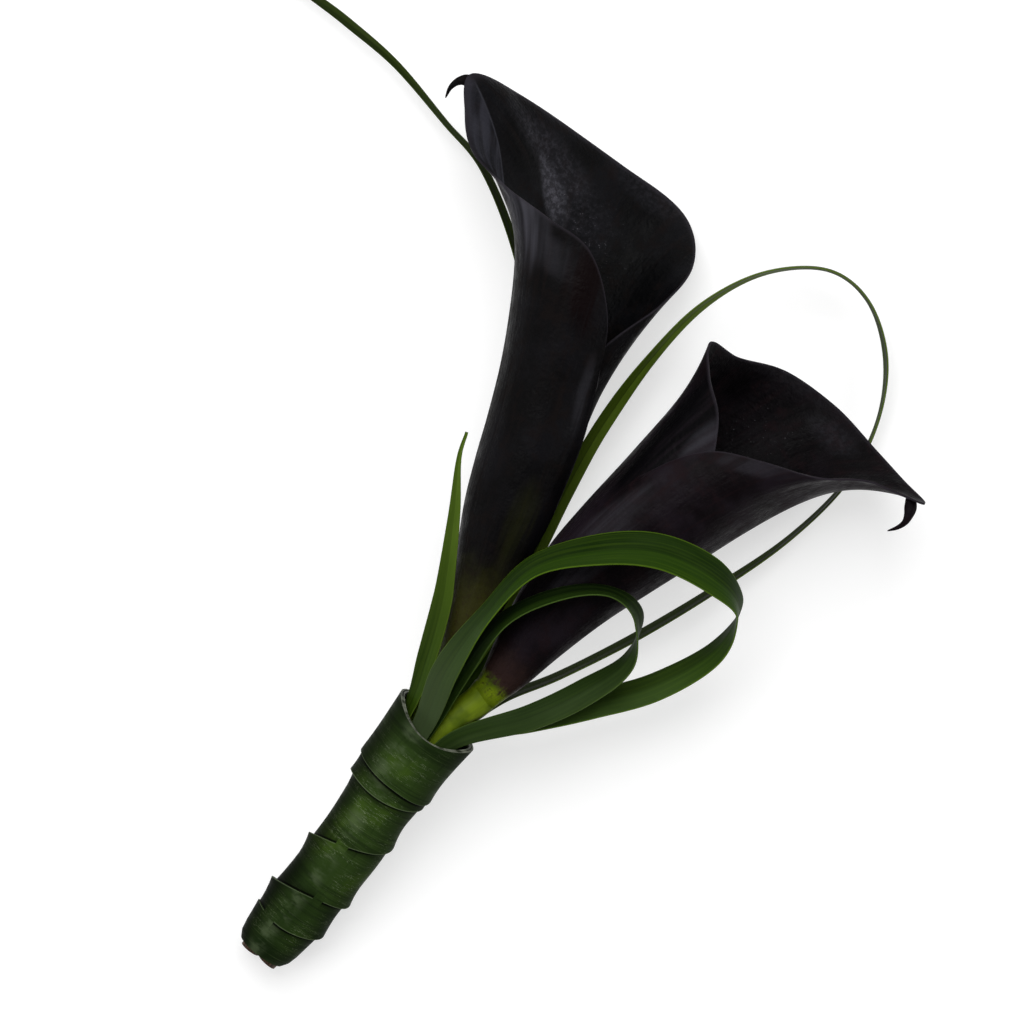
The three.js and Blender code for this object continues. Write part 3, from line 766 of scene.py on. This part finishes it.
def spathe_place(flower, v, t):
    """Point on the middle of the sheet: v from its outer to its inner margin, t from foot to rim."""
    turn, rim_along, rim_across, rim_up, flare, curl = np.moveaxis(spline(flower["rim"], v), -1, 0)
    angle = np.radians(turn)

    def tube_at(along):
        across, up, radius = np.moveaxis(look_up(flower["tube"], along), -1, 0)
        wound = radius + look_up(SPATHE_LAP, along)[..., 0] * (0.5 - v)
        near_foot = np.clip(1 - (along - flower["start"]) / FOOT_LENGTH, 0, 1) ** 2
        wound = wound + near_foot * (FOOT_RADIUS - wound)
        return across + flower["hand"] * wound * np.cos(angle), up + wound * np.sin(angle)

    along = flower["start"] + (rim_along - flower["start"]) * t
    tube_across, tube_up = tube_at(along)
    end_across, end_up = tube_at(rim_along)
    out = t**flare
    up = tube_up + out * (rim_up - end_up) + curl * 4 * out**2 * (1 - out**2)
    return flower_point(flower, along, tube_across + out * (rim_across - end_across), up)


def spathe_relief(flower, v, t, folds, crest, rng):
    """Height of the low folds and of the crest above the sheet."""
    relief = np.zeros_like(t)
    for waves in folds:
        relief += rng.uniform(0.5, 1) * np.sin(2 * np.pi * (waves * v + rng.uniform()) + 1.5 * t)
    relief *= FOLD_HEIGHT * t**1.5 * (1 - 0.6 * t**12)
    crest_v, crest_width, crest_at, crest_height = crest
    out = t ** spline(flower["rim"], v)[..., 4]
    near = np.clip(1 - np.abs(out - crest_at) / CREST_REACH, 0, 1) ** 1.5
    ridge = near * np.exp(-((v - crest_v) / crest_width) ** 2)
    return relief + flower["hand"] * crest_height * ridge


def sheet_border(size, rows, columns):
    """Quads that join the borders of two equal grids of points, one after the other."""
    index = np.arange(size).reshape(rows, columns)
    border = np.concatenate([index[:, 0], index[-1, 1:], index[-2::-1, -1], index[0, -2:0:-1]])
    after = np.roll(border, -1)
    return np.stack([border, after, after + size, border + size], -1)


def tail_points(flower):
    """Points of the tail: a rod that is flat where it leaves the sheet and round at its tip."""
    t = np.linspace(0, 1, TAIL_SAMPLES)
    stations = np.array([[*flower_point(flower, a, c, u), r] for a, c, u, r in flower["tail"]])
    stations[:len(TAIL_SINK), 2] -= TAIL_SINK
    turn = np.linspace(0, 2 * np.pi, TAIL_SIDES, endpoint=False)
    radius = np.maximum(spline(stations, t)[:, 3], TAIL_TIP) * np.sqrt(1 - 0.9 * t**8)
    flat = TAIL_FLAT + (1 - TAIL_FLAT) * np.minimum(1, 2 * t)
    return rod_points(stations, t, turn, radius[:, None], flat[:, None, None])


def spathe(name, flower, looks, folds, seed, crest):
    """Closed sheet of the spathe, with its tail. Its looks are those of its outside and inside."""
    rows = (len(flower["rim"]) - 1) * SHEET_ROWS_A_SPAN + 1
    columns = SHEET_COLUMNS
    to_rim = 1 - (1 - np.linspace(0, 1, columns)) ** SHEET_CROWDING
    v, t = np.broadcast_arrays(np.linspace(0, 1, rows)[:, None], to_rim[None, :])

    def place(a, b):
        return spathe_place(flower, np.clip(a, 0, 1), np.clip(b, 0, 1))

    round_it = place(v + STEP, t) - place(v - STEP, t)
    normal = unit(np.cross(round_it, place(v, t + STEP) - place(v, t - STEP)))
    rng = np.random.default_rng(seed)
    middle = place(v, t) + normal * spathe_relief(flower, v, t, folds, crest, rng)[..., None]
    full = SHEET_AT_FOOT + SHEET_GAIN * np.minimum(1, 9 * t)
    thickness = full + (SHEET_AT_RIM - full) * t**10
    half = normal * (thickness / 2)[..., None]
    size = rows * columns
    sheets = [grid_faces(rows, columns, flip=True), grid_faces(rows, columns, size)]
    faces = np.concatenate([*sheets, sheet_border(size, rows, columns)]).tolist()
    faces += tube_faces(TAIL_SAMPLES, TAIL_SIDES, 2 * size)
    # The inside is the first sheet or the second one, by the way the spathe is wound
    inner = 0 if flower["hand"] > 0 else 1
    look_of = np.zeros(len(faces), int)
    start = inner * len(sheets[0])
    look_of[start:start + len(sheets[inner])] = 1
    along = flower["start"] + (spline(flower["rim"], v)[..., 1] - flower["start"]) * t
    uv = np.stack([v, along / 10], -1).reshape(-1, 2)
    rim_uv = np.stack([t, v], -1).reshape(-1, 2)
    scatter = 0.002 * rng.uniform(size=(TAIL_SAMPLES * TAIL_SIDES, 2))
    points = np.concatenate([(middle + half).reshape(-1, 3), (middle - half).reshape(-1, 3),
                             tail_points(flower).reshape(-1, 3)])
    points[:, 2] = np.maximum(points[:, 2], 0)
    uvs = {"place": np.concatenate([uv, uv, np.array(TAIL_UV) + scatter]),
           "rim": np.concatenate([rim_uv, rim_uv, np.full_like(scatter, TAIL_RIM_UV)])}
    return make_piece(name, points, faces, uvs, looks, look_of)


# Blades

def blade(name, stations, look):
    """Ribbed strip with a shallow keel along its middle."""
    rows = (len(stations) - 1) * BLADE_ROWS_A_SPAN + 1
    t = np.linspace(0, 1, rows)
    curve = spline(stations, t)
    wide, face = frames_along(stations, t, curve[:, 3])
    side = BLADE_COLUMNS
    width = curve[:, 4:5]
    fold = BLADE_KEEL * np.minimum(width, KEEL_WIDTH) * (0.5 - np.sqrt(side**2 + KEEL_ROUND))[None, :]
    thin = BLADE_HALF_THICKNESS * (1 - BLADE_EDGE_LOSS * side**4)[None, :]
    thin = thin * np.minimum(1, width / BLADE_FULL_WIDTH)
    middle = curve[:, None, :3] + (side[None, :] * width / 2)[..., None] * wide[:, None]
    upper = middle + (fold + thin)[..., None] * face[:, None]
    lower = middle + (fold - thin)[..., None] * face[:, None]
    ring = np.concatenate([upper, lower[:, ::-1]], 1)
    columns = ring.shape[1]
    both = np.concatenate([side, side[::-1]])
    along = np.broadcast_to(run_length(curve[:, :3])[:, None] / 10, (rows, columns))
    place = np.stack([np.broadcast_to((both + 1) / 2, (rows, columns)), along], -1).reshape(-1, 2)
    grain = np.stack([both[None, :] * width / 20, along], -1).reshape(-1, 2)
    uvs = {"place": place, "grain": grain}
    return make_piece(name, ring.reshape(-1, 3), tube_faces(rows, columns), uvs, [look])


# Rods

def rod(name, stations, samples, sides, look, relief=None):
    """Round rod along stations [x, y, z, radius]."""
    t = np.linspace(0, 1, samples)
    turn = np.linspace(0, 2 * np.pi, sides, endpoint=False)
    curve = spline(stations, t)
    radius = curve[:, 3:4]
    length = run_length(curve[:, :3])
    if relief is not None:
        radius = radius + relief(length[:, None], turn[None, :])
    ring = rod_points(stations, t, turn, radius)
    uv = np.stack(np.broadcast_arrays(np.abs(turn / np.pi - 1)[None, :], length[:, None] / 10), -1)
    uvs = {"place": uv.reshape(-1, 2)}
    return make_piece(name, ring.reshape(-1, 3), tube_faces(samples, sides), uvs, [look])


def tube_line(flower, places):
    """Stations along a flower's tube, from rows (along, radius)."""
    rows = []
    for along, radius in places:
        across, up, _ = look_up(flower["tube"], along)
        rows.append([*flower_point(flower, along, across, up), radius])
    return rows


def stem(name, flower, in_wrap, look):
    """Stem from its cut end through the wrap and up into the bloom."""
    across, up = in_wrap
    foot = flower["start"]
    stations = [
        [*handle_point(across * 0.8, STEM_CUT_END, 0), STEM_CUT_RADIUS],
        [*handle_point(across * 0.92, 2, 0), STEM_RADIUS - 0.1],
        [*handle_point(across, 17, up * 0.3), STEM_RADIUS],
        [*handle_point(across, 32, up * 0.7), STEM_RADIUS],
    ] + tube_line(flower, [
        (-3, STEM_BELOW_BLOOM), (foot - 1, STEM_AT_FOOT), (foot + 1, STEM_IN_FOOT),
        (foot + 2.2, STEM_IN_FOOT), (foot + 4, STEM_IN_BLOOM), (12, STEM_IN_BLOOM),
        (STEM_TOP, STEM_IN_BLOOM),
    ])
    return rod(name, stations, STEM_SAMPLES, STEM_SIDES, look)


def spadix(name, flower, look):
    """Club-shaped flower spike with beads all over."""
    places = []
    for k in np.linspace(0, 1, 9):
        club = math.sqrt(1 - 0.85 * k**6) * (0.8 + 0.2 * min(1, 5 * k))
        places.append((SPADIX_START + (flower["spadix_end"] - SPADIX_START) * k, SPADIX_RADIUS * club))

    def beads(length, turn):
        a = 2 * np.pi * length / BEAD_PITCH + BEAD_SPIRALS * turn
        b = 2 * np.pi * length / BEAD_PITCH - BEAD_SPIRALS * turn
        return BEAD_HEIGHT * np.cos(a / 2) ** 2 * np.cos(b / 2) ** 2 - BEAD_SINK

    return rod(name, tube_line(flower, places), SPADIX_SAMPLES, SPADIX_SIDES, look, beads)


# Leaf wrap

def mouth_at(angle):
    return MOUTH_HEIGHT - MOUTH_DIP * np.maximum(0, np.cos(angle)) ** 2 - MOUTH_SLANT * np.sin(angle)


def join_seam(mesh):
    """Join the points that lie in one place, and turn all faces outwards."""
    shell = bmesh.new()
    shell.from_mesh(mesh)
    bmesh.ops.remove_doubles(shell, verts=shell.verts, dist=SEAM)
    bmesh.ops.recalc_face_normals(shell, faces=shell.faces)
    shell.to_mesh(mesh)
    shell.free()


def leaf_wrap(name, looks):
    """Sleeve with the steps of its wound leaf outside, a double lip at its mouth and a plain bore."""
    quarter = math.pi / 2
    first_angle = 2 * math.pi * WRAP_FIRST_TURN - quarter
    last_turn = (len(WRAP_EDGE) - 1) // 4 + WRAP_FIRST_TURN - 1
    columns = WRAP_COLUMNS

    def edge_at(angle):
        row = spline(WRAP_EDGE, (angle - first_angle) / quarter / (len(WRAP_EDGE) - 1))
        return row[..., 0], row[..., 1]

    def settle(distance):
        return np.maximum(0, 1 - distance / WRAP_STEP_LENGTH) ** 2

    turns = np.repeat(np.arange(WRAP_FIRST_TURN, last_turn), len(WRAP_ROWS))
    share = np.tile(WRAP_ROWS, last_turn - WRAP_FIRST_TURN)[None, :]
    around = (2 * math.pi * np.arange(columns + 1) / columns - quarter)[:, None]
    angle = around + 2 * math.pi * turns[None, :]
    low, low_step = edge_at(angle)
    high, high_step = edge_at(angle + 2 * math.pi)
    mouth = mouth_at(around)
    height = np.clip(low + (high - low) * share, HANDLE_BOTTOM, mouth)
    raised = (np.maximum(0, low_step) * settle(height - low)
              + np.maximum(0, -high_step) * settle(high - height))
    from_ends = np.minimum(1, np.minimum(height - HANDLE_BOTTOM, mouth - height))
    radius = look_up(WRAP_OUTSIDE, height)[..., 0] + raised * from_ends
    lip_radius = look_up(WRAP_OUTSIDE, mouth)[..., 0] - np.array([LIP_INWARDS])
    bore = np.broadcast_to(BORE_HEIGHTS, (columns + 1, len(BORE_HEIGHTS)))
    heights = np.concatenate([height, mouth + np.array([LIP_HEIGHTS]), bore], 1)
    radii = np.concatenate([radius, lip_radius, look_up(WRAP_BORE, bore)[..., 0]], 1)
    points = handle_point(radii * np.sin(around), heights, radii * np.cos(around))
    rows, outer_rows = points.shape[1], height.shape[1]
    start = np.arange(columns)
    last = (rows - 1) * (columns + 1) + start
    closing = np.stack([last, start, start + 1, last + 1], -1)
    faces = np.concatenate([grid_faces(rows, columns + 1), closing])
    # UV maps: the leaf's grain, and the distances, in centimetres, from the edges below and
    # above where these cover the layer, for painted shade, or belong to it, for a painted highlight
    far = np.ones((columns + 1, rows - outer_rows))
    angles = np.concatenate([angle, far * around], 1)

    def from_edges(of_low, of_high):
        return np.stack([np.concatenate([np.where(of_low, (height - low) / 10, 1), far], 1),
                         np.concatenate([np.where(of_high, (high - height) / 10, 1), far], 1)], -1)

    maps = {"grain": np.stack([angles * GRAIN_A_RADIAN, heights / 10], -1),
            "shade_under_edges": from_edges(low_step < -WRAP_STEP_SEEN, high_step > WRAP_STEP_SEEN),
            "lip_highlight": from_edges(low_step > WRAP_STEP_SEEN, high_step < -WRAP_STEP_SEEN)}
    uvs = {key: value.transpose(1, 0, 2).reshape(-1, 2) for key, value in maps.items()}
    points = points.transpose(1, 0, 2).reshape(-1, 3)
    points[:, 2] = np.maximum(points[:, 2], 0)
    row_of = np.concatenate([np.repeat(np.arange(rows - 1), columns), np.full(columns, rows - 1)])
    cut = np.isin(row_of - outer_rows, CUT_ROWS)
    piece = make_piece(name, points, faces, uvs, looks, cut.astype(int))
    join_seam(piece.data)
    piece.data.set_sharp_from_angle(angle=math.radians(SHARP_ANGLE))
    return piece


# Pieces

# Patches: where each is round the spathe and towards the rim, its size, strength and tone. The pale and
# bright ones are painted highlights and the dark one painted shade; the reddish and olive ones are the
# petal's own colour.
PALE_HIGHLIGHT, BRIGHT_HIGHLIGHT = tone(68, 67, 74), tone(90, 89, 97)
REDDISH, PAINTED_SHADE, OLIVE = tone(11, 3, 4), tone(4, 3, 5), tone(42, 44, 16)
PATCHES_1_OUTSIDE = [((0.26, 0.97), (0.06, 0.14), 0.9, PALE_HIGHLIGHT), ((0.2, 0.93), (0.09, 0.05), 0.25, PALE_HIGHLIGHT),
                     ((0.065, 0.79), (0.03, 0.13), 0.25, PALE_HIGHLIGHT),
                     ((0.13, 0.93), (0.05, 0.12), 1.6, REDDISH), ((0.17, 0.8), (0.008, 0.25), 0.5, REDDISH),
                     ((0.1, 0.36), (0.06, 0.16), 0.4, OLIVE)]
PATCHES_1_INSIDE = [((0.555, 0.853), (0.06, 0.065), 0.72, BRIGHT_HIGHLIGHT),
                    ((0.56, 0.92), (0.08, 0.065), 0.42, PALE_HIGHLIGHT),
                    ((0.62, 0.87), (0.06, 0.08), 0.2, PALE_HIGHLIGHT), ((0.68, 0.99), (0.05, 0.04), 0.2, PALE_HIGHLIGHT)]
PATCHES_2_OUTSIDE = [((0.91, 0.84), (0.07, 0.28), 1.8, PAINTED_SHADE), ((0.965, 0.95), (0.035, 0.1), 0.5, PALE_HIGHLIGHT),
                     ((0.07, 0.72), (0.06, 0.16), 0.3, PALE_HIGHLIGHT), ((0.2, 0.97), (0.08, 0.05), 0.25, PALE_HIGHLIGHT),
                     ((0.12, 0.5), (0.1, 0.2), 0.4, PALE_HIGHLIGHT)]
PATCHES_2_INSIDE = [((0.585, 0.945), (0.05, 0.04), 0.22, PALE_HIGHLIGHT), ((0.67, 0.99), (0.08, 0.03), 0.12, PALE_HIGHLIGHT)]
# Specks: the same without a tone
SPECKS_1 = [((0.64, 0.84), (0.1, 0.1), 0.7), ((0.55, 0.88), (0.1, 0.08), 0.3)]
SPECKS_2 = [((0.63, 0.84), (0.07, 0.1), 0.5)]
# Foot of a spathe: brown tone, how dull its green is, and the ends of green and brown in centimetres
FOOT_1 = (tone(52, 52, 18), 0.8, 0.75, 2.6)
FOOT_2 = (tone(52, 36, 32), 0.0, 0.72, 1.7)
# Folded margin, painted light and shade: its start and end round the spathe, and how far towards the rim
# its ridge starts
FACET_LIGHT_1 = (0.36, 0.5, 0.94)
WARM_1, WARM_2 = tone(19, 13, 12), tone(27, 15, 18)
looks_1 = [
    spathe_look("spathe_violet_black_outside", tone(6, 5, 6), tone(15, 14, 17), WARM_1, FOOT_1,
                PATCHES_1_OUTSIDE),
    spathe_look("spathe_violet_black_inside", tone(5, 5, 6), tone(15, 15, 18), WARM_1, None,
                PATCHES_1_INSIDE, SPECKS_1, FACET_LIGHT_1),
]
looks_2 = [
    spathe_look("spathe_purple_black_outside", tone(13, 8, 11), tone(28, 22, 28), WARM_2, FOOT_2,
                PATCHES_2_OUTSIDE),
    spathe_look("spathe_purple_black_inside", tone(7, 5, 7), tone(17, 13, 17), WARM_2, None,
                PATCHES_2_INSIDE, SPECKS_2),
]
dress(spathe("spathe_1_fine", FLOWER_1, looks_1, FOLDS_1, 3, CREST_1), "spathe_1")
dress(spathe("spathe_2_fine", FLOWER_2, looks_2, FOLDS_2, 5, CREST_2), "spathe_2")

# Tones of a blade's two halves, painted shade and light of its keel's faces, its edges and foot; how
# far the foot's tone reaches; the strength of the painted shade line along its keel; its two halves'
# late tones, and how far along it they start. Distances are in centimetres.
BLADE_LOOKS = {
    "blade_short": (tone(28, 46, 5), tone(42, 64, 9), tone(92, 116, 38), tone(26, 42, 8), 1.0, 0.15,
                    (tone(66, 88, 22), tone(80, 104, 30)), 1.6),
    "blade_arched": (tone(34, 54, 10), tone(50, 72, 16), tone(74, 90, 40), tone(40, 58, 16), 1.0, 0.3,
                     (tone(30, 40, 11), tone(46, 58, 20)), 7.0),
    # Its dark late tones are painted shade on its far leg, which lies under the other loops
    "blade_loop_large": (tone(74, 94, 24), tone(94, 118, 34), tone(104, 126, 52), tone(40, 56, 14), 1.0,
                         0.4, (tone(25, 37, 7), tone(44, 60, 15)), 9.5),
    # Its pale grey-green foot tone is a painted sky reflection
    "blade_loop_middle": (tone(18, 37, 5), tone(33, 57, 9), tone(96, 126, 30), tone(66, 80, 52), 3.8, 0.1,
                          (tone(58, 80, 32), tone(66, 90, 40)), 8.5),
    "blade_loop_small": (tone(16, 30, 8), tone(30, 50, 12), tone(80, 104, 44), tone(30, 48, 20), 1.0, 0.15,
                         (tone(36, 53, 20), tone(48, 65, 32)), 5.0),
}
for node, stations in BLADES.items():
    look = blade_look(node + "_leaf", *BLADE_LOOKS[node])
    dress(blade(node + "_fine", stations, look), node)

stem_material = stem_look()
dress(stem("stem_1_fine", FLOWER_1, STEM_1_IN_WRAP, stem_material), "stem_1")
dress(stem("stem_2_fine", FLOWER_2, STEM_2_IN_WRAP, stem_material), "stem_2")

spadix_material = spadix_look()
dress(spadix("spadix_1_fine", FLOWER_1, spadix_material), "spadix_1")
dress(spadix("spadix_2_fine", FLOWER_2, spadix_material), "spadix_2")

dress(leaf_wrap("leaf_wrap_fine", [wrap_look(), wrap_edge_look()]), "leaf_wrap")

# Camera straight above, with the photograph's turn about the vertical
PHOTO_UP = Vector((-0.6101, 0.7923, 0))
PHOTO_RIGHT = Vector((0.7923, 0.6101, 0))
VIEW_CENTRE = Vector((-11.83, 82.77, 0)) * MM
VIEW_WIDTH = 0.1792
VIEW_DISTANCE = 2.5
SENSOR = 36

scene = bpy.context.scene
camera = bpy.data.objects.new("camera", bpy.data.cameras.new("camera"))
scene.collection.objects.link(camera)
camera.data.sensor_width = SENSOR
camera.data.lens = SENSOR * VIEW_DISTANCE / VIEW_WIDTH
camera.data.clip_end = 10
axes = Matrix((PHOTO_RIGHT, PHOTO_UP, Vector((0, 0, 1)))).transposed()
camera.matrix_world = Matrix.Translation(VIEW_CENTRE + Vector((0, 0, VIEW_DISTANCE))) @ axes.to_4x4()
scene.camera = camera

# Floor, sky and lights: a dark ceiling over a pale horizon that is brighter on the upper left
FLOOR_SIZE = 6
FLOOR_DROP = 0.00005
FLOOR_TONE = 0.5
FLOOR_GLOW = 0.58
SKY_CEILING = 0.18
SKY_HORIZON = 0.35
# Heights, from 0 to 1, where the ceiling begins and the horizon ends
CEILING_BEGINS = 0.95
HORIZON_ENDS = 0.35
SKY_LEAN = 0.2
KEY_POWER = 13.0
LEFT_POWER = 3.0
RIGHT_POWER = 4.5
LIGHT_DISTANCE = 1.2
bpy.ops.mesh.primitive_plane_add(size=FLOOR_SIZE, location=(0, 0, -FLOOR_DROP))
floor = bpy.context.object
floor.name = "floor"
floor_look = Look("floor_white", Base_Color=(FLOOR_TONE, FLOOR_TONE, FLOOR_TONE, 1), Specular_IOR_Level=0.0,
                  Roughness=1.0, Emission_Color=(1, 1, 1, 1), Emission_Strength=FLOOR_GLOW)
floor.data.materials.append(floor_look.material)

world = bpy.data.worlds.new("studio")
scene.world = world
world.use_nodes = True
sky = Nodes(world.node_tree)
background = world.node_tree.nodes["Background"]
direction = sky.node("TexCoord").outputs["Generated"]
height = sky.node("SeparateXYZ", {0: direction}).outputs[2]
lift = sky.smooth(height, CEILING_BEGINS, HORIZON_ENDS, SKY_CEILING, SKY_HORIZON)
upper_left = sky.node("VectorMath", {0: direction, 1: (PHOTO_UP - PHOTO_RIGHT).normalized()},
                      operation="DOT_PRODUCT").outputs["Value"]
lean = sky.node("MapRange", {"Value": upper_left, "From Min": -1, "From Max": 1,
                             "To Min": 1 - SKY_LEAN, "To Max": 1 + SKY_LEAN}).outputs[0]
sky.feed(background.inputs[1], sky.times(lift, lean))
sky.feed(background.inputs[0], (1, 1, 1, 1))


def softbox(name, direction, size, energy):
    """Square light that faces the middle of the view from this direction."""
    light = bpy.data.lights.new(name, "AREA")
    light.size = size
    light.energy = energy
    lamp = bpy.data.objects.new(name, light)
    scene.collection.objects.link(lamp)
    toward = Vector(direction).normalized()
    lamp.location = VIEW_CENTRE + toward * LIGHT_DISTANCE
    lamp.rotation_euler = toward.to_track_quat("Z", "Y").to_euler()


softbox("key", PHOTO_UP * 0.5 - PHOTO_RIGHT * 0.08 + Vector((0, 0, 0.87)), 1.0, KEY_POWER)
softbox("left", PHOTO_RIGHT * -0.85 - PHOTO_UP * 0.15 + Vector((0, 0, 0.5)), 0.6, LEFT_POWER)
softbox("right", PHOTO_RIGHT * 0.9 - PHOTO_UP * 0.1 + Vector((0, 0, 0.4)), 0.6, RIGHT_POWER)

scene.view_settings.view_transform = "Standard"
